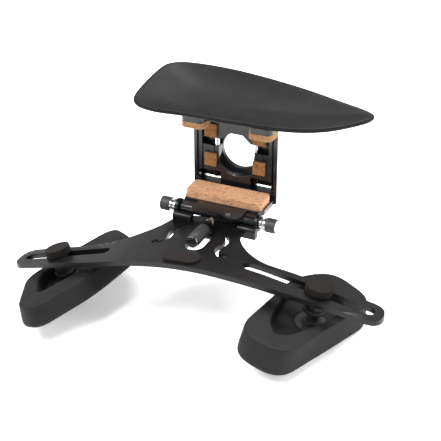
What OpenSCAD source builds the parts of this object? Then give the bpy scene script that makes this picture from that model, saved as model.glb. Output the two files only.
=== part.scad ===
// Violin shoulder rest joined to a centre-clamped chin rest.
// Millimetres. Origin: middle of the seat cork's top face, where the violin's back rests.
// +X is the player's right, +Y points to the player's neck, +Z is up when both pads stand on a table.

/* [Clamp] */
// Width of the upright clamp frame
frame_w = 43.6; // [42:0.2:48]
// Height of the frame above the seat
frame_h = 33; // [30:0.5:36]
// Width of the cork seat under the violin's back
seat_w = 39.6; // [34:0.2:40.4]
// Depth of the cork seat
seat_d = 12.6; // [11:0.2:13]
// Thickness of the seat cork
seat_t = 3.6; // [2.4:0.2:4]
// Clear height between the seat and the cork of the upper feet
grip_gap = 31.6; // [30:0.2:36]
// Thickness of the cork under the upper feet
foot_cork_t = 3; // [2:0.5:4]
// Radius of the hole that clears the end button
button_hole_r = 9.4; // [8:0.1:10]
// How far the clamp leans sideways from the arms' upright
clamp_lean = 4.4; // [0:0.2:6]

/* [Chin plate] */
// Height of the chin plate's front rim above the seat
chin_h = 44.6; // [43:0.2:52]
// Depth of the chin plate's hollow
chin_dish = 6; // [3:0.5:7]
// Wall thickness of the chin plate
chin_wall = 3; // [2.4:0.2:4]

/* [Arms] */
// Length of the left arm from the middle
arm_left = 94.5; // [91:0.5:100]
// Length of the right arm from the middle
arm_right = 92; // [89:0.5:100]
// Width of each arm across its slot
arm_w = 13.6; // [12:0.2:15]
// Thickness of the arm plate
arm_t = 2.4; // [2:0.1:3]
// Slope of both arms, in degrees
arm_slope = 13.4; // [10:0.2:16]
// Width of the slots
slot_w = 5.6; // [5:0.1:6]

/* [Feet] */
// Distance of the left foot from the middle
foot_left = 70.5; // [60:0.5:80]
// Distance of the right foot from the middle
foot_right = 62.5; // [52:0.5:78]
// Depth of the left pad's top below its arm
left_low = 6.3; // [6.3:0.1:9]
// Depth of the right pad's top below its arm
right_low = 10.1; // [6.3:0.1:10.4]
// Thickness of the left soft pad
left_pad_t = 10.5; // [10:0.5:14]
// Thickness of the right soft pad
right_pad_t = 13.5; // [12:0.5:14]
// Radius of the felt-topped lock knobs
knob_r = 6.2; // [5.8:0.2:7.4]

/* [Hidden] */
$fn = 64;
eps = 0.01;

// Clamp frame, in the clamp's own leaning axes
base_t = 2.6;
base_front = -7.6;
front_y = 9;
rib_y = 7.5;
layer_t = 3.6;
back_y = front_y + layer_t;
back_t = 2.2;
rear_y = back_y + back_t;
rail_y = 8.4;
rail_w = 4.4;
block_top = 18.6;
hole_x = 0.7;
hole_z = 16.5;
hole_step_r = 12;
ring_r = 13.6;
ring_rear = 15.7;
step_y = 13.2;
screw_x = 10.2;
screw_y = 10.5;
screw_r = 1.2;
run_gap = 0.05;
slit_in = 9.4;
slit_out = 18;
slit_z = -1.3;

// Hinge between the clamp and the arms
hinge_y = -10.7;
hinge_z = -7;
shaft_r = 1.5;
knuckle_r = 2.6;
knuckle_half = 19.6;
ear_in = 19.9;
ear_out = 21.5;
ear_r = 4;
lobe_y = -14.7;
lobe_z = -9.7;
lobe_r = 2;
core_r = 3.1;
grip_r = 3.5;

// Upper jaw, which carries the chin plate
leg_half = 16.4;
leg_bottom = 22.6;
leg_y = 9.2;
leg_t = 2.6;
jaw_z = grip_gap + foot_cork_t;
jaw_t = 3;
foot_in = 11.2;
foot_out = 23.2;
foot_front = -3.8;
foot_back = 7.2;

// Arms
slot_y = -45.1;
arch_r = 173;
arch_top = -9.7;
arch_x = 2.3;
arm_front = slot_y - arm_w / 2;
arm_back = slot_y + arm_w / 2;
straight_x = arch_r * sin(arm_slope);
straight_drop = arch_r * (1 - cos(arm_slope));
left_slot = [-90, -42];
right_slot = [27, 88];
tilt_z = -6.8;

// Feet, in axes whose origin is on the arm's top face at the slot
bush_flange_z = -2.6;
sleeve_end = -10.5;
bush_r = 4.2;
post_r = 2.5;
post_len = 8.1;
pin_r = 2;
plate_r = 7.6;
plate_sunk = 2.6;
pocket_depth = 6.5;
knob_z = 0.3;
knob_t = 2.6;
felt_t = 1;

// Corners of each pad's outline as [outwards, along Y, rounding]
LEFT_PAD = [[-28, 25, 10], [-23.5, -14, 12], [-11, -43.5, 5.4], [0, -41.5, 5.4], [17.5, -9, 10], [-4.5, 43.5, 9]];
RIGHT_PAD = [[-24, -34, 12], [1, -38.5, 10], [21.5, 24, 11], [-3, 35, 9], [-18, 20, 11.5]];
// Corners of the pocket in each pad's top
LEFT_POCKET = [[-3, -28, 5], [8, -12, 6], [8.5, 4, 6], [-4, 17, 6], [-16, 12, 6], [-14, -4, 7]];
RIGHT_POCKET = [[-8, -26, 2.8], [-2.5, -23, 2.8], [9, 0, 6], [11, 14, 7], [-8, 19, 6], [-16, 8, 6], [-14, -18, 5]];
// Points on the chin plate's rim, seen from above
CHIN = [
    [-45.5, 17], [-42, 26], [-30, 29.5], [-5, 29], [25, 23.5], [50, 16.5], [64.5, 12],
    [67.5, 8], [62, 1], [50, -8], [34, -13], [10, -14.5], [-15, -15], [-32, -16],
    [-42, -13], [-45.5, -4]
];
chin_middle = [-6, 6];
chin_rings = 8;
chin_rise = 0.15;

function xy(p) = [p[0], p[1]];

// Outline through corners [x, y, rounding], each corner a smooth quadratic bend
function bend(a, b, c, n) =
    let(p = b + b_round(b) * unit3(a - b), q = b + b_round(b) * unit3(c - b))
    [for (i = [0 : n])
        let(t = i / n)
        xy(p) * (1 - t) * (1 - t) + xy(b) * 2 * t * (1 - t) + xy(q) * t * t];
function b_round(b) = b[2];
function unit3(v) = [v[0], v[1], 0] / norm([v[0], v[1]]);
function rounded(p, n = 8) =
    [for (i = [0 : len(p) - 1])
        each bend(p[(i + len(p) - 1) % len(p)], p[i], p[(i + 1) % len(p)], n)];

// Closed smooth curve through points
function between(a, b, c, d, t) =
    0.5 * (2 * b + (c - a) * t + (2 * a - 5 * b + 4 * c - d) * t * t
        + (3 * b - a - 3 * c + d) * t * t * t);
function smooth_loop(p, n) =
    [for (i = [0 : len(p) - 1], k = [0 : n - 1])
        between(p[(i + len(p) - 1) % len(p)], p[i], p[(i + 1) % len(p)],
            p[(i + 2) % len(p)], k / n)];

// Height of an arm's top face at x
function arm_z(x) =
    let(d = abs(x - arch_x))
    d < straight_x
        ? arch_top - arch_r + sqrt(arch_r * arch_r - d * d)
        : arch_top - straight_drop - (d - straight_x) * tan(arm_slope);

// Leaning axes of the clamp, the hinge and the chin rest
module lean() {
    rotate([0, clamp_lean, 0]) children();
}

// Cylinder along X from x0 to x1
module bar_x(r, x0, x1) {
    translate([x0, 0, 0]) rotate([0, 90, 0]) cylinder(r = r, h = x1 - x0);
}

// Cylinder along Y from y0 to y1
module bar_y(r, y0, y1) {
    translate([0, y1, 0]) rotate([90, 0, 0]) cylinder(r = r, h = y1 - y0);
}

// Upright block between two corners
module block(a, b) {
    translate(a) cube(b - a);
}

// Upright block with rounded vertical edges
module round_block(a, b, r) {
    block([a[0] + r, a[1], a[2]], [b[0] - r, b[1], b[2]]);
    block([a[0], a[1] + r, a[2]], [b[0], b[1] - r, b[2]]);
    for (x = [a[0] + r, b[0] - r], y = [a[1] + r, b[1] - r])
        translate([x, y, a[2]]) cylinder(r = r, h = b[2] - a[2]);
}

// ---- Clamp frame and what is fixed to it ----

module clamp_frame() {
    color("#1b1b1d") lean() {
        difference() {
            frame_body();
            translate([hole_x, 0, hole_z]) bar_y(button_hole_r, 0, ring_rear + 1);
            difference() {
                translate([hole_x, 0, hole_z]) bar_y(hole_step_r, rail_y - 1, step_y);
                for (side = [-1, 1])
                    lower_block(side);
            }
            for (side = [-1, 1])
                frame_cuts(side);
            translate([0, hinge_y, hinge_z]) bar_x(shaft_r + run_gap, -30, 30);
        }
    }
}

module frame_body() {
    bottom = -seat_t - base_t;
    half = frame_w / 2;
    frame_slice(bottom, frame_h) {
        polygon([[-half, rail_y], [-half, rail_y + 1], [-half + 2.4, rear_y], [half - 2.4, rear_y],
            [half, rail_y + 1], [half, rail_y], [half - rail_w, rail_y], [half - rail_w, back_y],
            [-half + rail_w, back_y], [-half + rail_w, rail_y]]);
    }
    frame_slice(bottom, -seat_t)
        polygon([[-half + 2.4, base_front], [half - 2.4, base_front], [half - 2.4, base_front + 2],
            [half - 1, base_front + 4], [half - 1, rail_y + 1], [half - 2.4, rear_y],
            [-half + 2.4, rear_y], [-half + 1, rail_y + 1], [-half + 1, base_front + 4],
            [-half + 2.4, base_front + 2]]);
    block([-half + rail_w - eps, front_y, bottom], [half - rail_w + eps, back_y + eps, block_top]);
    intersection() {
        translate([hole_x, 0, hole_z]) bar_y(ring_r, rail_y, ring_rear);
        union() {
            block([-20, back_y - eps, -5], [20, ring_rear, 40]);
            block([-20, rail_y, -5], [20, back_y + eps, block_top]);
        }
    }
    translate([0, hinge_y, hinge_z]) bar_x(knuckle_r, -knuckle_half, knuckle_half);
    block([-knuckle_half, hinge_y, bottom], [knuckle_half, base_front + eps, -4.4]);
}

// Upright prism with the children's outline between two heights
module frame_slice(low, high) {
    translate([0, 0, low]) linear_extrude(high - low) children();
}

// Thick block below the upper jaw's leg, with its raised cork seat
module lower_block(side) {
    a = side < 0 ? -16.3 : 8.7;
    block([a, front_y, 4], [a + 7.6, back_y + 0.6, block_top]);
}

module frame_cuts(side) {
    a = side < 0 ? -slit_out : slit_in;
    b = side < 0 ? -slit_out - 1 : slit_in - 1.6;
    block([b, rail_y - 1, slit_z], [b + slit_out - slit_in + 2.6, back_y + eps, 5.2]);
    block([a, back_y, slit_z], [a + slit_out - slit_in, rear_y + 1, slit_z + 2]);
    block([side * 12.7 - 3.15, rail_y - 1, 7.95], [side * 12.7 + 3.15, front_y, 15.05]);
    translate([side * screw_x, screw_y, 0]) cylinder(r = screw_r + run_gap, h = block_top + 1);
    groove = frame_w / 2 - rail_w / 2;
    block([side * groove - 0.5, rail_y - 1, 1], [side * groove + 0.5, rail_y + 1.2, frame_h + 1]);
}

module seat_cork() {
    color("#d9a877") lean()
        round_block([-seat_w / 2, -seat_d / 2, -seat_t], [seat_w / 2, seat_d / 2, 0], 1.8);
}

// Cork square that meets the violin's ribs, from z0 up, glued on a face at back
module rib_cork(side, z0, back) {
    color("#a5733f") lean()
        block([side * 12.7 - 3.1, rib_y, z0], [side * 12.7 + 3.1, back, z0 + 7]);
}

module rib_cork_lower_left() {
    rib_cork(-1, 8, front_y);
}

module rib_cork_lower_right() {
    rib_cork(1, 8, front_y);
}

module hinge_cover() {
    edge = [
        [-12, -7.7, 0.5], [-12, -17.4, 2], [-6, -18, 2], [-3.6, -16, 1.5], [3.6, -16, 1.5],
        [8, -18, 2], [12.5, -17.4, 2], [13.5, -14, 1], [13.5, -7.7, 0.5]
    ];
    color("#202022") lean()
        translate([0, 0, -4.4])
            difference() {
                linear_extrude(0.8) polygon(rounded(edge, 6));
                translate([7, -15.4, -1]) cylinder(r = 0.8, h = 3);
            }
}

module cover_rivet() {
    color("#8a8a8c") lean()
        translate([7, -15.4, -4.4]) {
            cylinder(r = 0.8, h = 0.9);
            translate([0, 0, 0.8]) cylinder(r = 1.2, h = 0.4);
        }
}

module hinge_shaft() {
    color("silver") lean()
        translate([0, hinge_y, hinge_z]) bar_x(shaft_r, -24.2, 24.2);
}

// ---- Upper jaw and chin plate ----

module chin_bracket() {
    arch = [
        [-leg_half, leg_bottom], [-7.8, leg_bottom], [-3.4, 26.4], [3.4, 26.4],
        [7.8, leg_bottom], [leg_half, leg_bottom], [leg_half, jaw_z + jaw_t],
        [-leg_half, jaw_z + jaw_t]
    ];
    color("#18181a") lean()
        difference() {
            union() {
                translate([0, leg_y + leg_t, 0]) rotate([90, 0, 0]) linear_extrude(leg_t)
                    polygon(arch);
                block([-leg_half, 1, jaw_z], [leg_half, leg_y + eps, jaw_z + jaw_t]);
                foot_shape(-1, jaw_z, jaw_t);
                foot_shape(1, jaw_z, jaw_t);
            }
            for (side = [-1, 1]) {
                translate([side * screw_x, screw_y, leg_bottom - 1])
                    cylinder(r = screw_r + run_gap, h = 13.4);
                translate([side * 15, 4, jaw_z - 1]) cylinder(r = 1.4, h = 6);
                translate([side * 15, 4, jaw_z - eps]) cylinder(r = 2.6, h = 1.6);
            }
        }
}

// Rounded foot outline, extruded from z0
module foot_shape(side, z0, h) {
    a = side < 0 ? -foot_out : foot_in;
    round_block([a, foot_front, z0], [a + foot_out - foot_in, foot_back, z0 + h], 3);
}

module foot_cork(side) {
    color("#c08a52") lean()
        difference() {
            foot_shape(side, grip_gap, foot_cork_t);
            translate([side * 15, 4, grip_gap - 1]) cylinder(r = 2.8, h = foot_cork_t + 2);
        }
}

module foot_cork_left() {
    foot_cork(-1);
}

module foot_cork_right() {
    foot_cork(1);
}

module rib_cork_upper_left() {
    rib_cork(-1, 23.4, leg_y);
}

module rib_cork_upper_right() {
    rib_cork(1, 23.4, leg_y);
}

// Countersunk screws that hold the chin plate on the jaw
module chin_plate_screws() {
    color("#3a3a3c") lean()
        for (side = [-1, 1])
            translate([side * 15, 4, jaw_z + 0.1]) {
                cylinder(r = 2.4, h = 1.4);
                cylinder(r = 1.35, h = 5.2);
            }
}

// Rim height, and the hollow below it at a fraction k of the way to the rim
function rim_z(p) = chin_h + chin_rise * (p[1] + 15);
function dish_z(p, k) = rim_z(p) - chin_dish * pow(1 - pow(k, 2.4), 1.2);
function ring_point(p, k, drop) =
    let(q = chin_middle + k * (p - chin_middle)) [q[0], q[1], dish_z(q, k) - drop];

// Two triangles between points i and k of one ring and the same points a step further on
function quad(ring, i, k, step) =
    [[ring + i, ring + step + k, ring + k], [ring + i, ring + step + i, ring + step + k]];

// Dished shell on two round bosses
module chin_plate() {
    rim = smooth_loop(CHIN, 4);
    n = len(rim);
    top = [for (j = [1 : chin_rings], p = rim) ring_point(p, j / chin_rings, 0)];
    under = [for (j = [1 : chin_rings], p = rim) ring_point(p, j / chin_rings, chin_wall - 0.8 * j / chin_rings)];
    tip_top = [chin_middle[0], chin_middle[1], dish_z(chin_middle, 0)];
    tip_under = tip_top - [0, 0, chin_wall];
    far = 2 * n * chin_rings;
    last = (chin_rings - 1) * n;
    low = chin_rings * n;
    faces = [
        for (i = [0 : n - 1]) [far, i, (i + 1) % n],
        for (j = [0 : chin_rings - 2], i = [0 : n - 1])
            each quad(j * n, i, (i + 1) % n, n),
        for (i = [0 : n - 1])
            each quad(last, i, (i + 1) % n, low),
        for (j = [0 : chin_rings - 2], i = [0 : n - 1])
            each quad(low + j * n, (i + 1) % n, i, n),
        for (i = [0 : n - 1]) [far + 1, low + (i + 1) % n, low + i]
    ];
    color("#3c3c3e") lean()
        difference() {
            union() {
                polyhedron(concat(top, under, [tip_top, tip_under]), faces);
                for (side = [-1, 1])
                    translate([side * 15, 4, jaw_z + jaw_t]) cylinder(r = 4.2, h = 3.2);
            }
            for (side = [-1, 1])
                translate([side * 15, 4, jaw_z + jaw_t - 1]) cylinder(r = 1.4, h = 3.6);
        }
}

// Vertical screw that draws the jaw down, with its capstan head in the slit
module clamp_screw(side) {
    color("#c9c9cc") lean()
        translate([side * screw_x, screw_y, 0]) {
            translate([0, 0, 2.5])
                difference() {
                    cylinder(r = 1.8, h = 2.4);
                    translate([0, 0, 1.2]) bar_x(0.5, -3, 3);
                }
            translate([0, 0, 4]) cylinder(r = screw_r, h = 27.5);
        }
}

module clamp_screw_left() {
    clamp_screw(-1);
}

module clamp_screw_right() {
    clamp_screw(1);
}

// ---- Arms ----

// Side profile between two heights over the plate's top face, from x0 to x1
module arm_profile(x0, x1, low, high) {
    inner = max(x0, arch_x - straight_x);
    outer = min(x1, arch_x + straight_x);
    steps = 20;
    x = concat(
        x0 < inner ? [x0] : [],
        [for (i = [0 : steps]) inner + (outer - inner) * i / steps],
        x1 > outer ? [x1] : []);
    top = [for (i = [0 : len(x) - 1]) profile_point(x[i], high)];
    under = [for (i = [len(x) - 1 : -1 : 0]) profile_point(x[i], low)];
    polygon(concat(top, under));
}

// Point at height h square to the plate's top face
function profile_point(x, h) =
    let(a = max(-arm_slope, min(arm_slope, asin(max(-1, min(1, (x - arch_x) / arch_r))))))
    [x + h * sin(a), arm_z(x) + h * cos(a)];

// Plan outline of the plate
module arm_outline() {
    tip = arm_w / 2;
    edge = [
        [0, -57.6, 14], [-34, -57.8, 14], [-60, -55.8, 12],
        [-arm_left, arm_front, tip], [-arm_left, arm_back + 1.6, tip], [-56, arm_back + 0.4, 7],
        [-41, -34.5, 7], [-28, -22.4, 6], [-22.6, -9, 0.6],
        [14.6, -9, 0.6], [14.8, -22, 5.5], [22, -33, 7], [34, -40, 6.5], [50, arm_back, 8],
        [arm_right, arm_back, tip], [arm_right, arm_front, tip], [64, -53.8, 12], [32, -57.4, 14]
    ];
    polygon(rounded(edge, 6));
}

// Slot with round ends between two places along the arm
module slot_cut(ends) {
    r = slot_w / 2;
    translate([0, slot_y, -60]) {
        block([ends[0] + r, -r, 0], [ends[1] - r, r, 80]);
        for (x = [ends[0] + r, ends[1] - r])
            translate([x, 0, 0]) cylinder(r = r, h = 80);
    }
}

// S-shaped sound-hole cut for the right side, with a ball at each end
module f_hole_cut() {
    n = 14;
    middle = [for (i = [0 : n]) let(t = i / n) [9.6 + 4.6 * t + 1.5 * sin(360 * t), -24.6 - 19.4 * t]];
    width = [for (i = [0 : n]) 0.45 + 0.9 * sin(180 * i / n)];
    left = [for (i = [0 : n]) middle[i] - [width[i], 0]];
    right = [for (i = [n : -1 : 0]) middle[i] + [width[i], 0]];
    translate([0, 0, -20]) linear_extrude(20) polygon(concat(left, right));
    translate([8.2, -24.2, -20]) cylinder(r = 1.4, h = 20);
    translate([16.2, -42.6, -20]) cylinder(r = 1.8, h = 20);
}

module arm_plate() {
    color("#161618")
        difference() {
            union() {
                intersection() {
                    rotate([90, 0, 0]) linear_extrude(70)
                        arm_profile(-arm_left - 5, arm_right + 5, -arm_t, 0);
                    translate([0, 0, -60]) linear_extrude(60) arm_outline();
                }
                lean() hinge_ears();
                block([-2.6, -26, arch_top - 1.2], [2.6, -24, -4]);
            }
            slot_cut(left_slot);
            slot_cut(right_slot);
            f_hole_cut();
            translate([-5.2, 5.4, 0]) mirror([1, 0, 0]) f_hole_cut();
            grip_window();
            translate([0, 0, tilt_z]) bar_y(1.3, -30, -20);
            lean() ear_cuts();
        }
}

// Round ears on the hinge shaft and the rolled lobes that carry them
module hinge_ears() {
    for (side = [-1, 1]) {
        a = side < 0 ? -ear_out : ear_in;
        translate([0, hinge_y, hinge_z]) bar_x(ear_r, a, a + ear_out - ear_in);
        b = side < 0 ? -ear_out : 12;
        translate([0, lobe_y, lobe_z]) bar_x(lobe_r, b, b + ear_out - 12);
        block([b, lobe_y - lobe_r, -13.2], [b + ear_out - 12, lobe_y + 1, lobe_z]);
    }
}

module ear_cuts() {
    translate([0, hinge_y, hinge_z]) bar_x(shaft_r + run_gap, -30, 30);
    translate([0, hinge_y, hinge_z]) bar_x(knuckle_r + 0.3, -knuckle_half - 0.15, knuckle_half + 0.15);
}

// Window with round ends for the tilt screw's grip
module grip_window() {
    translate([0, 0, -20]) {
        block([-4.4, -38, 0], [4.4, -31, 18]);
        for (y = [-38, -31])
            translate([0, y, 0]) cylinder(r = 4.4, h = 18);
    }
}

module centre_felt() {
    color("#4a3d36")
        intersection() {
            translate([-9.4, -55.6, -20]) round_plan(18, 9.2, 4.5, 20);
            rotate([90, 0, 0]) linear_extrude(70) arm_profile(-12, 12, 0, 1.2);
        }
}

// Rounded rectangle, extruded up from its corner
module round_plan(w, d, r, h) {
    round_block([0, 0, 0], [w, d, h], r);
}

// ---- Tilt screw, lying over the plate along Y ----

module tilt_screw_rod() {
    color("#d4d4d8")
        translate([0, 0, tilt_z]) {
            bar_y(1.2, -41, -19.6);
            bar_y(2.8, -41, -39.6);
            difference() {
                bar_y(2.6, -23.2, -19.6);
                for (turn = [0 : 60 : 120])
                    rotate([0, turn, 0]) block([-3, -20.6, -0.4], [3, -19, 0.4]);
            }
        }
}

module tilt_screw_grip() {
    color("#232325")
        translate([0, 0, tilt_z])
            difference() {
                bar_y(3.2, -39.6, -27.4);
                bar_y(1.2, -45, -20);
            }
}

// ---- Thumb screws at the ends of the hinge shaft ----

module thumb_screw_core(side) {
    color("#d4d4d8") lean()
        translate([0, hinge_y, hinge_z]) mirror([side < 0 ? 1 : 0, 0, 0])
            difference() {
                union() {
                    bar_x(core_r, 21.8, 23.2);
                    bar_x(2.2, 23.1, 24.1);
                    bar_x(core_r, 24, 25);
                    bar_x(1.8, 24.9, 29.4);
                    bar_x(2.8, 29.3, 30);
                }
                bar_x(shaft_r + run_gap, 20, 25);
                translate([22.5, 0, 0])
                    for (turn = [30, 120])
                        rotate([turn, 0, 0]) cylinder(r = 0.4, h = 10, center = true);
            }
}

module thumb_screw_core_left() {
    thumb_screw_core(-1);
}

module thumb_screw_core_right() {
    thumb_screw_core(1);
}

module thumb_screw_grip(side) {
    color("#2a2a2c") lean()
        translate([0, hinge_y, hinge_z]) mirror([side < 0 ? 1 : 0, 0, 0])
            difference() {
                bar_x(grip_r, 25, 29.8);
                bar_x(1.8, 24, 31);
                bar_x(2.8, 29.3, 31);
            }
}

module thumb_screw_grip_left() {
    thumb_screw_grip(-1);
}

module thumb_screw_grip_right() {
    thumb_screw_grip(1);
}

// ---- Feet ----

// Axes of a foot: origin on the arm's top face in the slot, +X outwards along the slope
module foot_axes(side) {
    x = side < 0 ? -foot_left : foot_right;
    translate([x, slot_y, arm_z(x)])
        rotate([0, side * arm_slope, 0])
            mirror([side < 0 ? 1 : 0, 0, 0]) children();
}

// Depth of a pad's top below the arm
function pad_low(side) = side < 0 ? left_low : right_low;
function pad_thick(side) = side < 0 ? left_pad_t : right_pad_t;

module slot_bush(side) {
    color("#2b2b2d") foot_axes(side)
        difference() {
            union() {
                translate([0, 0, bush_flange_z - 1.4]) cylinder(r = 5.6, h = 1.4);
                translate([0, 0, sleeve_end]) cylinder(r = bush_r, h = -sleeve_end + bush_flange_z - 1);
                round_block([-4, -2.7, bush_flange_z - 1], [4, 2.7, -0.1], 2.65);
            }
            translate([0, 0, sleeve_end - 1]) cylinder(r = post_r + run_gap, h = 7);
            translate([0, 0, sleeve_end]) cylinder(r = 1.2 + run_gap, h = 12);
        }
}

module left_slot_bush() {
    slot_bush(-1);
}

module right_slot_bush() {
    slot_bush(1);
}

module height_ring(side) {
    color("#1d1d1f") foot_axes(side)
        translate([0, 0, sleeve_end + 0.2])
            difference() {
                cylinder(r = 5.2, h = 2);
                translate([0, 0, -1]) cylinder(r = bush_r, h = 4);
            }
}

module left_height_ring() {
    height_ring(-1);
}

module right_height_ring() {
    height_ring(1);
}

module lock_knob(side) {
    color("#2e2624") foot_axes(side) {
        translate([0, 0, knob_z]) cylinder(r = knob_r, h = knob_t);
        translate([0, 0, -3.8]) cylinder(r = 1.2, h = 3.8 + knob_z + eps);
    }
}

module left_lock_knob() {
    lock_knob(-1);
}

module right_lock_knob() {
    lock_knob(1);
}

module lock_felt(side) {
    color("#4a3f3a") foot_axes(side)
        translate([0, 0, knob_z + knob_t]) cylinder(r = knob_r - 0.2, h = felt_t);
}

module left_lock_felt() {
    lock_felt(-1);
}

module right_lock_felt() {
    lock_felt(1);
}

// Threaded post that sets the pad's height
module post(side) {
    low = pad_low(side);
    color("#232325") foot_axes(side)
        translate([0, 0, -low - pocket_depth]) {
            cylinder(r = post_r, h = post_len);
            cylinder(r = 4.2, h = 1.4);
            translate([0, 0, -2.5]) cylinder(r = pin_r, h = 3);
        }
}

module left_post() {
    post(-1);
}

module right_post() {
    post(1);
}

// Stiff disc moulded into the pad, turning on the post's pin
module pad_plate(side) {
    low = pad_low(side);
    color("#1f1f21") foot_axes(side)
        translate([0, 0, -low - pocket_depth - plate_sunk])
            difference() {
                cylinder(r = plate_r, h = plate_sunk - 0.2);
                translate([0, 0, -1]) cylinder(r = pin_r + run_gap, h = 4);
            }
}

module left_pad_plate() {
    pad_plate(-1);
}

module right_pad_plate() {
    pad_plate(1);
}

module pad(side) {
    pad_t = pad_thick(side);
    color("#3a3b3c") foot_axes(side)
        translate([0, 0, -pad_low(side) - pad_t])
            difference() {
                linear_extrude(pad_t) polygon(rounded(side < 0 ? LEFT_PAD : RIGHT_PAD));
                translate([0, 0, pad_t - pocket_depth]) linear_extrude(pad_t)
                    polygon(rounded(side < 0 ? LEFT_POCKET : RIGHT_POCKET));
                translate([0, 0, pad_t - pocket_depth - plate_sunk])
                    cylinder(r = plate_r, h = plate_sunk + 1);
            }
}

module left_pad() {
    pad(-1);
}

module right_pad() {
    pad(1);
}

clamp_frame();
seat_cork();
rib_cork_lower_left();
rib_cork_lower_right();
hinge_cover();
cover_rivet();
hinge_shaft();
chin_bracket();
chin_plate();
chin_plate_screws();
foot_cork_left();
foot_cork_right();
rib_cork_upper_left();
rib_cork_upper_right();
clamp_screw_left();
clamp_screw_right();
arm_plate();
centre_felt();
tilt_screw_rod();
tilt_screw_grip();
thumb_screw_core_left();
thumb_screw_grip_left();
thumb_screw_core_right();
thumb_screw_grip_right();
left_slot_bush();
left_height_ring();
left_lock_knob();
left_lock_felt();
left_post();
left_pad_plate();
left_pad();
right_slot_bush();
right_height_ring();
right_lock_knob();
right_lock_felt();
right_post();
right_pad_plate();
right_pad();
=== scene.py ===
import math

import bmesh
import bpy
from mathutils import Matrix, Vector


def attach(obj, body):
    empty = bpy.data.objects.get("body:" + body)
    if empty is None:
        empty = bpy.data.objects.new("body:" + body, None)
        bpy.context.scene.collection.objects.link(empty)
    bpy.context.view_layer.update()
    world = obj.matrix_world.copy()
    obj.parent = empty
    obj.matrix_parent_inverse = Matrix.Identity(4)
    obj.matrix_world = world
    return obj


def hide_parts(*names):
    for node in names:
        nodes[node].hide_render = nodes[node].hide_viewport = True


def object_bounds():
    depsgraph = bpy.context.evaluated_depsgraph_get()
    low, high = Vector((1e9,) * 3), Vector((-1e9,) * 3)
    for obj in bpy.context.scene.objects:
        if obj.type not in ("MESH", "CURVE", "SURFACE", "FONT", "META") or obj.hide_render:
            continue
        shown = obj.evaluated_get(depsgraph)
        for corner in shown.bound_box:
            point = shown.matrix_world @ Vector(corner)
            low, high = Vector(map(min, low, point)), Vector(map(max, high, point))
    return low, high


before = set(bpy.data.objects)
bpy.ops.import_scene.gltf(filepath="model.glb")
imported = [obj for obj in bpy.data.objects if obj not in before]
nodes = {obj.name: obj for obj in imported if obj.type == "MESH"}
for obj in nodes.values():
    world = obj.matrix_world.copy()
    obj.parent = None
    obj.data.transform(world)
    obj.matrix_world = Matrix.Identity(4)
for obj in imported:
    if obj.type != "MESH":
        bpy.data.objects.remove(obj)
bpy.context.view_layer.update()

MM = 0.001
LEAN = math.radians(4.4)
SLOPE = math.radians(13.4)

# ---- Materials ----


def material(name, color, rough, metallic=0.0):
    m = bpy.data.materials.new(name)
    m.use_nodes = True
    shader = m.node_tree.nodes["Principled BSDF"]
    shader.inputs["Base Color"].default_value = (*color, 1)
    shader.inputs["Roughness"].default_value = rough
    shader.inputs["Metallic"].default_value = metallic
    return m, m.node_tree.nodes, m.node_tree.links, shader


def place(m, stretch=(1, 1, 1)):
    """Row-frame coordinates in millimetres, divided by stretch."""
    coords = m.node_tree.nodes.new("ShaderNodeTexCoord")
    mapping = m.node_tree.nodes.new("ShaderNodeMapping")
    mapping.inputs["Scale"].default_value = [1000 / s for s in stretch]
    m.node_tree.links.new(coords.outputs["Object"], mapping.inputs["Vector"])
    return mapping.outputs["Vector"]


def noise(m, scale, detail=4, stretch=(1, 1, 1)):
    n = m.node_tree.nodes.new("ShaderNodeTexNoise")
    n.inputs["Scale"].default_value = scale
    n.inputs["Detail"].default_value = detail
    m.node_tree.links.new(place(m, stretch), n.inputs["Vector"])
    return n.outputs["Fac"]


def cells(m, scale):
    n = m.node_tree.nodes.new("ShaderNodeTexVoronoi")
    n.inputs["Scale"].default_value = scale
    m.node_tree.links.new(place(m), n.inputs["Vector"])
    return n


def ramp(m, value, stops):
    n = m.node_tree.nodes.new("ShaderNodeValToRGB")
    e = n.color_ramp.elements
    while len(e) < len(stops):
        e.new(0.5)
    for item, (at, color) in zip(e, stops):
        item.position = at
        item.color = (*color, 1)
    m.node_tree.links.new(value, n.inputs["Fac"])
    return n.outputs["Color"]


def spread(m, value, low, high):
    n = m.node_tree.nodes.new("ShaderNodeMapRange")
    n.inputs["To Min"].default_value = low
    n.inputs["To Max"].default_value = high
    m.node_tree.links.new(value, n.inputs["Value"])
    return n.outputs["Result"]


def bump(m, height, depth_mm, under=None):
    """Bump of that depth in millimetres, over the bump in under if there is one."""
    n = m.node_tree.nodes.new("ShaderNodeBump")
    n.inputs["Distance"].default_value = depth_mm * MM
    m.node_tree.links.new(height, n.inputs["Height"])
    if under is not None:
        m.node_tree.links.new(under, n.inputs["Normal"])
    return n.outputs["Normal"]


def multiply(m, a, b, factor):
    """Colour a, multiplied by colour b as far as factor says."""
    n = m.node_tree.nodes.new("ShaderNodeMix")
    n.data_type = "RGBA"
    n.blend_type = "MULTIPLY"
    n.inputs["Factor"].default_value = factor
    m.node_tree.links.new(a, n.inputs["A"])
    m.node_tree.links.new(b, n.inputs["B"])
    return n.outputs["Result"]


def moulded(name, color, rough, grain=1.6, depth=0.02, swing=0.06, gloss=0.5):
    """Moulded plastic or rubber: fine grain, faint mottling, uneven gloss."""
    m, _, links, shader = material(name, color, rough)
    shader.inputs["Specular IOR Level"].default_value = gloss
    mottle = noise(m, 0.09)
    dark = [c * 0.82 for c in color]
    pale = [c * 1.18 for c in color]
    links.new(ramp(m, mottle, [(0.3, dark), (0.7, pale)]), shader.inputs["Base Color"])
    links.new(spread(m, noise(m, 0.3), rough - swing, rough + swing), shader.inputs["Roughness"])
    links.new(bump(m, noise(m, grain, 3), depth), shader.inputs["Normal"])
    return m


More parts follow.
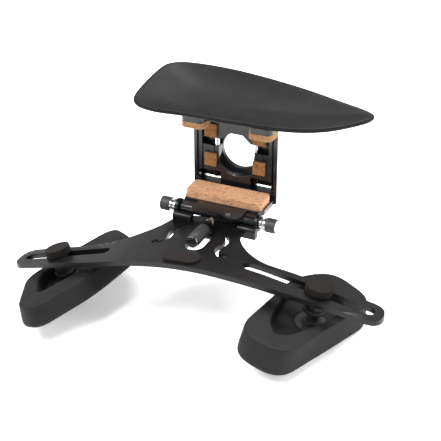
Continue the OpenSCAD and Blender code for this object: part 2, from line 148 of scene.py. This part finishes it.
def metal(name, color, rough, stretch):
    m, _, links, shader = material(name, color, rough, 1.0)
    streak = noise(m, 1.2, 5, stretch)
    links.new(spread(m, streak, rough * 0.6, rough * 1.5), shader.inputs["Roughness"])
    dull = [c * 0.85 for c in color]
    links.new(ramp(m, streak, [(0.35, dull), (0.65, color)]), shader.inputs["Base Color"])
    links.new(bump(m, streak, 0.01), shader.inputs["Normal"])
    return m


def ribbed(name, color, rough, pitch, axis, depth):
    """Moulded grip with shallow ribs around an axis."""
    m, n, links, shader = material(name, color, rough)
    wave = n.new("ShaderNodeTexWave")
    wave.bands_direction = axis
    wave.inputs["Scale"].default_value = 0.314 / pitch
    links.new(place(m), wave.inputs["Vector"])
    ribs = bump(m, wave.outputs["Fac"], depth)
    links.new(bump(m, noise(m, 2.2, 3), 0.02, ribs), shader.inputs["Normal"])
    pale = [c * 1.5 for c in color]
    links.new(ramp(m, noise(m, 0.5), [(0.3, color), (0.75, pale)]), shader.inputs["Base Color"])
    links.new(spread(m, noise(m, 0.7), rough - 0.06, rough + 0.08), shader.inputs["Roughness"])
    return m


def cork(name, pale, mid, dark, grain, streaky):
    m, n, links, shader = material(name, mid, 0.85)
    grains = cells(m, grain)
    body = ramp(m, noise(m, grain * 0.8, 6, (streaky, 1, 1)), [(0.3, mid), (0.62, pale)])
    patch = n.new("ShaderNodeSeparateColor")
    links.new(grains.outputs["Color"], patch.inputs["Color"])
    tint = ramp(m, patch.outputs["Red"], [(0.0, (0.62, 0.52, 0.45)), (0.35, (1, 1, 1))])
    speck = ramp(m, noise(m, grain * 1.7, 5, (streaky * 1.3, 1, 0.7)), [(0.33, dark), (0.41, (1, 1, 1))])
    links.new(multiply(m, multiply(m, body, tint, 0.6), speck, 0.8), shader.inputs["Base Color"])
    low = bump(m, grains.outputs["Distance"], 0.12)
    links.new(bump(m, noise(m, grain * 2.5, 4), 0.08, low), shader.inputs["Normal"])
    links.new(spread(m, noise(m, grain), 0.75, 0.95), shader.inputs["Roughness"])
    return m


def felt(name, color):
    m, n, links, shader = material(name, color, 0.95)
    fuzz = noise(m, 3.2, 8)
    pale = [c * 1.7 for c in color]
    dark = [c * 0.6 for c in color]
    links.new(ramp(m, fuzz, [(0.35, dark), (0.65, pale)]), shader.inputs["Base Color"])
    links.new(bump(m, fuzz, 0.2), shader.inputs["Normal"])
    shader.inputs["Sheen Weight"].default_value = 0.03
    shader.inputs["Specular IOR Level"].default_value = 0.1
    shader.inputs["Sheen Roughness"].default_value = 0.5
    return m


def screw_finish():
    """Bright rod, blackened below about 15 mm over the seat."""
    bright = (0.66, 0.66, 0.68)
    m = metal("clamp_screw", bright, 0.16, (1, 1, 1))
    shader = m.node_tree.nodes["Principled BSDF"]
    split = m.node_tree.nodes.new("ShaderNodeSeparateXYZ")
    m.node_tree.links.new(place(m), split.inputs["Vector"])
    level = m.node_tree.nodes.new("ShaderNodeMapRange")
    level.inputs["From Min"].default_value = 14
    level.inputs["From Max"].default_value = 16
    m.node_tree.links.new(split.outputs["Z"], level.inputs["Value"])
    shade = ramp(m, level.outputs["Result"], [(0.0, (0.012, 0.012, 0.012)), (1.0, bright)])
    m.node_tree.links.new(shade, shader.inputs["Base Color"])
    return m


FRAME_BLACK = moulded("frame_black", (0.010, 0.010, 0.012), 0.20, 0.5, 0.012, 0.05)
BRACKET_BLACK = moulded("bracket_black", (0.012, 0.012, 0.013), 0.30, 0.8, 0.012)
CHIN_GREY = moulded("chin_grey", (0.0095, 0.0097, 0.0102), 0.40, 2.2, 0.008, 0.03, 0.10)
ARM_BLACK = moulded("arm_black", (0.0055, 0.0055, 0.0057), 0.32, 2.4, 0.010, 0.04, 0.26)
PAD_RUBBER = moulded("pad_rubber", (0.011, 0.0114, 0.0118), 0.62, 1.8, 0.06, 0.06, 0.14)
FOOT_BLACK = ribbed("foot_black", (0.016, 0.016, 0.017), 0.4, 0.8, "Z", 0.05)
GRIP_BLACK = ribbed("grip_black", (0.028, 0.028, 0.030), 0.5, 1.1, "X", 0.06)
GRIP_LONG = ribbed("grip_long", (0.020, 0.020, 0.022), 0.38, 1.2, "Y", 0.05)
KNOB_BROWN = felt("knob_brown", (0.009, 0.0072, 0.0068))
FELT = felt("felt", (0.011, 0.0088, 0.0082))
CHROME = metal("chrome", (0.66, 0.66, 0.68), 0.14, (1, 1, 1))
SCREW = screw_finish()
STEEL = metal("steel", (0.52, 0.52, 0.53), 0.28, (6, 1, 1))
DARK_STEEL = metal("dark_steel", (0.12, 0.12, 0.125), 0.35, (1, 1, 1))
SEAT_CORK = cork("seat_cork", (0.68, 0.38, 0.215), (0.57, 0.305, 0.16), (0.20, 0.10, 0.05), 0.9, 2.2)
RIB_CORK = cork("rib_cork", (0.34, 0.155, 0.05), (0.21, 0.09, 0.026), (0.10, 0.04, 0.015), 1.1, 1.0)
FOOT_CORK = cork("foot_cork", (0.50, 0.28, 0.13), (0.40, 0.205, 0.09), (0.15, 0.07, 0.03), 1.2, 1.4)

LOOKS = {
    "clamp_frame": FRAME_BLACK, "hinge_cover": BRACKET_BLACK, "chin_bracket": BRACKET_BLACK,
    "seat_cork": SEAT_CORK, "arm_plate": ARM_BLACK, "centre_felt": FELT,
    "cover_rivet": STEEL, "hinge_shaft": STEEL, "chin_plate_screws": DARK_STEEL,
    "tilt_screw_rod": CHROME, "tilt_screw_grip": GRIP_LONG,
}
for name in nodes:
    if name.startswith("rib_cork"):
        LOOKS[name] = RIB_CORK
    elif name.startswith("foot_cork"):
        LOOKS[name] = FOOT_CORK
    elif name.startswith("clamp_screw"):
        LOOKS[name] = SCREW
    elif name.startswith("thumb_screw_core"):
        LOOKS[name] = CHROME
    elif name.startswith("thumb_screw_grip"):
        LOOKS[name] = GRIP_BLACK
    elif name.endswith("_lock_felt"):
        LOOKS[name] = FELT
    elif name.endswith("_lock_knob"):
        LOOKS[name] = KNOB_BROWN
    elif name.startswith(("left_", "right_")):
        LOOKS[name] = FOOT_BLACK
LOOKS["chin_plate"] = CHIN_GREY
for name, look in LOOKS.items():
    nodes[name].data.materials.clear()
    nodes[name].data.materials.append(look)

# ---- Edges that catch the light ----

EDGES = {
    "clamp_frame": 0.35, "chin_bracket": 0.4, "arm_plate": 0.45, "hinge_cover": 0.2,
    "seat_cork": 0.5, "centre_felt": 0.35, "foot_cork_left": 0.3, "foot_cork_right": 0.3,
    "rib_cork_lower_left": 0.25, "rib_cork_lower_right": 0.25,
    "rib_cork_upper_left": 0.25, "rib_cork_upper_right": 0.25,
    "left_lock_knob": 0.5, "right_lock_knob": 0.5, "left_lock_felt": 0.3, "right_lock_felt": 0.3,
    "thumb_screw_core_left": 0.18, "thumb_screw_core_right": 0.18,
    "thumb_screw_grip_left": 0.4, "thumb_screw_grip_right": 0.4,
    "tilt_screw_grip": 0.5, "tilt_screw_rod": 0.2,
    "left_height_ring": 0.3, "right_height_ring": 0.3,
}
for name, width in EDGES.items():
    weld = nodes[name].modifiers.new("weld", "WELD")
    weld.merge_threshold = 2e-6
    edge = nodes[name].modifiers.new("edge", "BEVEL")
    edge.width = width * MM
    edge.segments = 3
    edge.limit_method = "ANGLE"
    edge.angle_limit = math.radians(40)
    edge.harden_normals = True

# ---- Pieces made here, in millimetres ----


def clamp_point(x, y, z):
    """A point given in the leaning clamp's own millimetres."""
    return Vector((
        x * math.cos(LEAN) + z * math.sin(LEAN), y, -x * math.sin(LEAN) + z * math.cos(LEAN),
    )) * MM


def foot_point(side, x, y, z):
    """A point given in a foot's own millimetres: x outwards along the slope, z square to the arm."""
    at = (-70.5, -45.1, -22.202) if side < 0 else (62.5, -45.1, -19.2)
    return Vector((
        at[0] + side * (x * math.cos(SLOPE) + z * math.sin(SLOPE)), at[1] + y,
        at[2] - x * math.sin(SLOPE) + z * math.cos(SLOPE),
    )) * MM


def rings_mesh(name, rings, look):
    """Closed skin through rings of equal length, capped with a point at each end."""
    n = len(rings[0])
    points = [p for ring in rings for p in ring]
    first = sum(rings[0], Vector()) / n
    last = sum(rings[-1], Vector()) / n
    faces = []
    for j in range(len(rings) - 1):
        for i in range(n):
            k = (i + 1) % n
            faces.append((j * n + i, j * n + k, (j + 1) * n + k, (j + 1) * n + i))
    points += [first, last]
    base = (len(rings) - 1) * n
    for i in range(n):
        k = (i + 1) % n
        faces.append((len(points) - 2, k, i))
        faces.append((len(points) - 1, base + i, base + k))
    mesh = bpy.data.meshes.new(name)
    mesh.from_pydata([tuple(p) for p in points], [], faces)
    mesh.polygons.foreach_set("use_smooth", [True] * len(mesh.polygons))
    mesh.materials.append(look)
    mesh.update()
    o = bpy.data.objects.new(name, mesh)
    bpy.context.scene.collection.objects.link(o)
    return o


def outward(o):
    """Turns every face outwards."""
    bm = bmesh.new()
    bm.from_mesh(o.data)
    bmesh.ops.recalc_face_normals(bm, faces=bm.faces)
    bm.to_mesh(o.data)
    bm.free()
    return o


# Chin plate: a dished shell with a rounded rim
CHIN = [
    (-45.5, 17), (-42, 26), (-30, 29.5), (-5, 29), (25, 23.5), (50, 16.5), (64.5, 12),
    (67.5, 8), (62, 1), (50, -8), (34, -13), (10, -14.5), (-15, -15), (-32, -16),
    (-42, -13), (-45.5, -4),
]
CHIN_MIDDLE = (-6, 6)
STEPS = 8  # points between two of the rim's
TOP_RINGS = 16
UNDER_RINGS = 10


def spline(a, b, c, d, t):
    """Smooth curve from b to c, led by a and d."""
    return 0.5 * (2 * b + (c - a) * t + (2 * a - 5 * b + 4 * c - d) * t * t
                  + (3 * b - a - 3 * c + d) * t ** 3)


def chin_ring(k, drop, inset=0.0):
    """Ring a share k of the way to the rim, drop below the dish, inset towards the middle."""
    ring = []
    for i in range(len(CHIN)):
        four = [CHIN[(i + s) % len(CHIN)] for s in (-1, 0, 1, 2)]
        for s in range(STEPS):
            x, y = (spline(*(p[c] for p in four), s / STEPS) for c in (0, 1))
            dx, dy = x - CHIN_MIDDLE[0], y - CHIN_MIDDLE[1]
            reach = max(0.0, k - inset / math.hypot(dx, dy))
            x, y = CHIN_MIDDLE[0] + reach * dx, CHIN_MIDDLE[1] + reach * dy
            rim = 44.6 + 0.15 * (y + 15)
            z = rim - 6 * max(0.0, 1 - reach ** 2.4) ** 1.2
            ring.append(clamp_point(x, y, z - drop))
    return ring


tops = [chin_ring(j / TOP_RINGS, 0) for j in range(1, TOP_RINGS)]
lip = [chin_ring(1, 0.0, 1.2), chin_ring(1, 0.12, 0.5), chin_ring(1, 0.55, 0.1), chin_ring(1, 1.1, 0.0),
       chin_ring(1, 1.7, 0.15), chin_ring(1, 2.1, 0.6), chin_ring(1, 2.25, 1.3)]
unders = [chin_ring(j / UNDER_RINGS, 3 - 0.8 * j / UNDER_RINGS) for j in range(UNDER_RINGS - 1, 0, -1)]
chin = outward(rings_mesh("chin_plate_shell", tops + lip + unders, CHIN_GREY))
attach(chin, "chin_rest")
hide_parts("chin_plate")

for label, x in (("left", -15), ("right", 15)):
    loops = []
    for z, r in ((37.6, 3.9), (37.9, 4.2), (39.6, 4.2), (40.0, 4.0)):
        loops.append([
            clamp_point(x + r * math.cos(a * math.pi / 20), 4 + r * math.sin(a * math.pi / 20), z)
            for a in range(40)
        ])
    boss = outward(rings_mesh("chin_plate_boss_" + label, loops, CHIN_GREY))
    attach(boss, "chin_rest")

# Pads: moulded rubber with a crisp lip, sides that flare to the base, and a steep pocket
PADS = {
    "left": dict(
        side=-1, low=6.3, thick=10.5, middle=(-3, -3),
        outline=[(-28, 25, 10), (-23.5, -14, 12), (-11, -43.5, 5.4), (0, -41.5, 5.4), (17.5, -9, 10),
                 (-4.5, 43.5, 9)],
        pocket=[(-3, -28, 5), (8, -12, 6), (8.5, 4, 6), (-4, 17, 6), (-16, 12, 6), (-14, -4, 7)],
    ),
    "right": dict(
        side=1, low=10.1, thick=13.5, middle=(-2, -2),
        outline=[(-24, -34, 12), (1, -38.5, 10), (21.5, 24, 11), (-3, 35, 9), (-18, 20, 11.5)],
        pocket=[(-8, -26, 2.8), (-2.5, -23, 2.8), (9, 0, 6), (11, 14, 7), (-8, 19, 6), (-16, 8, 6),
                (-14, -18, 5)],
    ),
}
RAYS = 144


def rounded(corners):
    """Outline through corners (x, y, rounding), each a smooth bend."""
    points = []
    for i, (bx, by, r) in enumerate(corners):
        b = Vector((bx, by))
        a = Vector(corners[i - 1][:2])
        c = Vector(corners[(i + 1) % len(corners)][:2])
        p, q = b + r * (a - b).normalized(), b + r * (c - b).normalized()
        for s in range(9):
            t = s / 8
            points.append(p * (1 - t) ** 2 + b * 2 * t * (1 - t) + q * t * t)
    return points


def reach(points, middle, angle):
    """Distance from middle to the outline along one direction."""
    d = Vector((math.cos(angle), math.sin(angle)))
    best = 0.0
    for i, a in enumerate(points):
        a = a - middle
        b = points[(i + 1) % len(points)] - middle
        e = b - a
        cross = d.x * e.y - d.y * e.x
        if abs(cross) < 1e-9:
            continue
        t = (a.x * e.y - a.y * e.x) / cross
        u = (a.x * d.y - a.y * d.x) / cross
        if t > 0 and -1e-6 <= u <= 1 + 1e-6:
            best = max(best, t)
    return best


for label, pad in PADS.items():
    side, top = pad["side"], -pad["low"]
    foot, floor_z = top - pad["thick"], top - 6.5
    middle = Vector(pad["middle"])
    angles = [2 * math.pi * i / RAYS for i in range(RAYS)]
    outer = [reach(rounded(pad["outline"]), middle, a) for a in angles]
    inner = [reach(rounded(pad["pocket"]), middle, a) for a in angles]
    disc = [reach([Vector((7.7 * math.cos(b), 7.7 * math.sin(b))) for b in
                   [math.pi * j / 36 for j in range(72)]], middle, a) for a in angles]

    def ring(radii, add, z, scale=1.0):
        return [foot_point(side, middle.x + (scale * r + add) * math.cos(a),
                           middle.y + (scale * r + add) * math.sin(a), z)
                for r, a in zip(radii, angles)]

    rings = [
        ring(outer, 0, foot + 0.5, 0.3), ring(outer, 0, foot + 0.3, 0.7),
        ring(outer, -2.6, foot), ring(outer, -1.0, foot + 0.1), ring(outer, 0.1, foot + 0.6),
        ring(outer, 0.8, foot + 1.6), ring(outer, 0.7, foot + 3.2),
        ring(outer, 0.2, foot + pad["thick"] * 0.55), ring(outer, -0.5, top - 1.8),
        ring(outer, -0.65, top - 1.0), ring(outer, -0.75, top - 0.45), ring(outer, -0.95, top - 0.1),
        ring(outer, -1.4, top), ring(inner, 1.4, top - 0.05), ring(inner, 0.6, top - 0.12),
        ring(inner, 0.15, top - 0.5), ring(inner, 0.0, top - 1.4), ring(inner, -0.4, floor_z + 1.6),
        ring(inner, -0.7, floor_z + 0.5), ring(inner, -1.3, floor_z), ring(disc, 0.35, floor_z),
        ring(disc, 0.0, floor_z - 0.1), ring(disc, 0.0, floor_z - 1.2),
    ]
    piece = outward(rings_mesh(label + "_pad_skin", rings, PAD_RUBBER))
    smooth = piece.modifiers.new("smooth", "SUBSURF")
    smooth.levels = 1
    smooth.render_levels = 1
    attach(piece, label + "_cushion")
    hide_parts(label + "_pad")

# ---- Floor, light and camera ----

lo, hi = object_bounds()
bpy.ops.mesh.primitive_plane_add(size=6, location=(0, 0, lo.z - 0.0002))
floor = bpy.context.object
floor.name = "floor"
m, _, links, shader = material("floor", (0.96, 0.96, 0.96), 0.9)
links.new(spread(m, noise(m, 0.01), 0.85, 0.95), shader.inputs["Roughness"])
shader.inputs["Emission Color"].default_value = (1, 1, 1, 1)
shader.inputs["Emission Strength"].default_value = 0.4
floor.data.materials.append(m)

world = bpy.data.worlds.new("studio")
world.use_nodes = True
world.node_tree.nodes["Background"].inputs["Color"].default_value = (1, 1, 1, 1)
world.node_tree.nodes["Background"].inputs["Strength"].default_value = 0.5
bpy.context.scene.world = world


def lamp(name, place_at, size, power, target=(0, -0.02, 0)):
    data = bpy.data.lights.new(name, "AREA")
    data.shape = "RECTANGLE"
    data.size, data.size_y = size
    data.energy = power
    o = bpy.data.objects.new(name, data)
    bpy.context.scene.collection.objects.link(o)
    o.location = place_at
    o.rotation_euler = (Vector(target) - Vector(place_at)).to_track_quat("-Z", "Y").to_euler()


lamp("key", (-0.35, -0.45, 0.75), (0.5, 0.4), 9)
lamp("top", (0.1, 0.25, 0.85), (0.7, 0.5), 12)
lamp("side", (0.75, 0.0, 0.35), (0.2, 0.4), 3)

camera_data = bpy.data.cameras.new("camera")
camera_data.lens = 95.24
camera_data.sensor_width = 36
camera_data.clip_start = 0.01
camera = bpy.data.objects.new("camera", camera_data)
bpy.context.scene.collection.objects.link(camera)
camera.matrix_world = Matrix((
    (0.90709, -0.13043, 0.40021, 0.22317),
    (0.41525, 0.43293, -0.80009, -0.45614),
    (-0.06891, 0.89194, 0.44687, 0.23858),
    (0, 0, 0, 1),
))
bpy.context.scene.camera = camera
bpy.context.scene.view_settings.view_transform = "Standard"
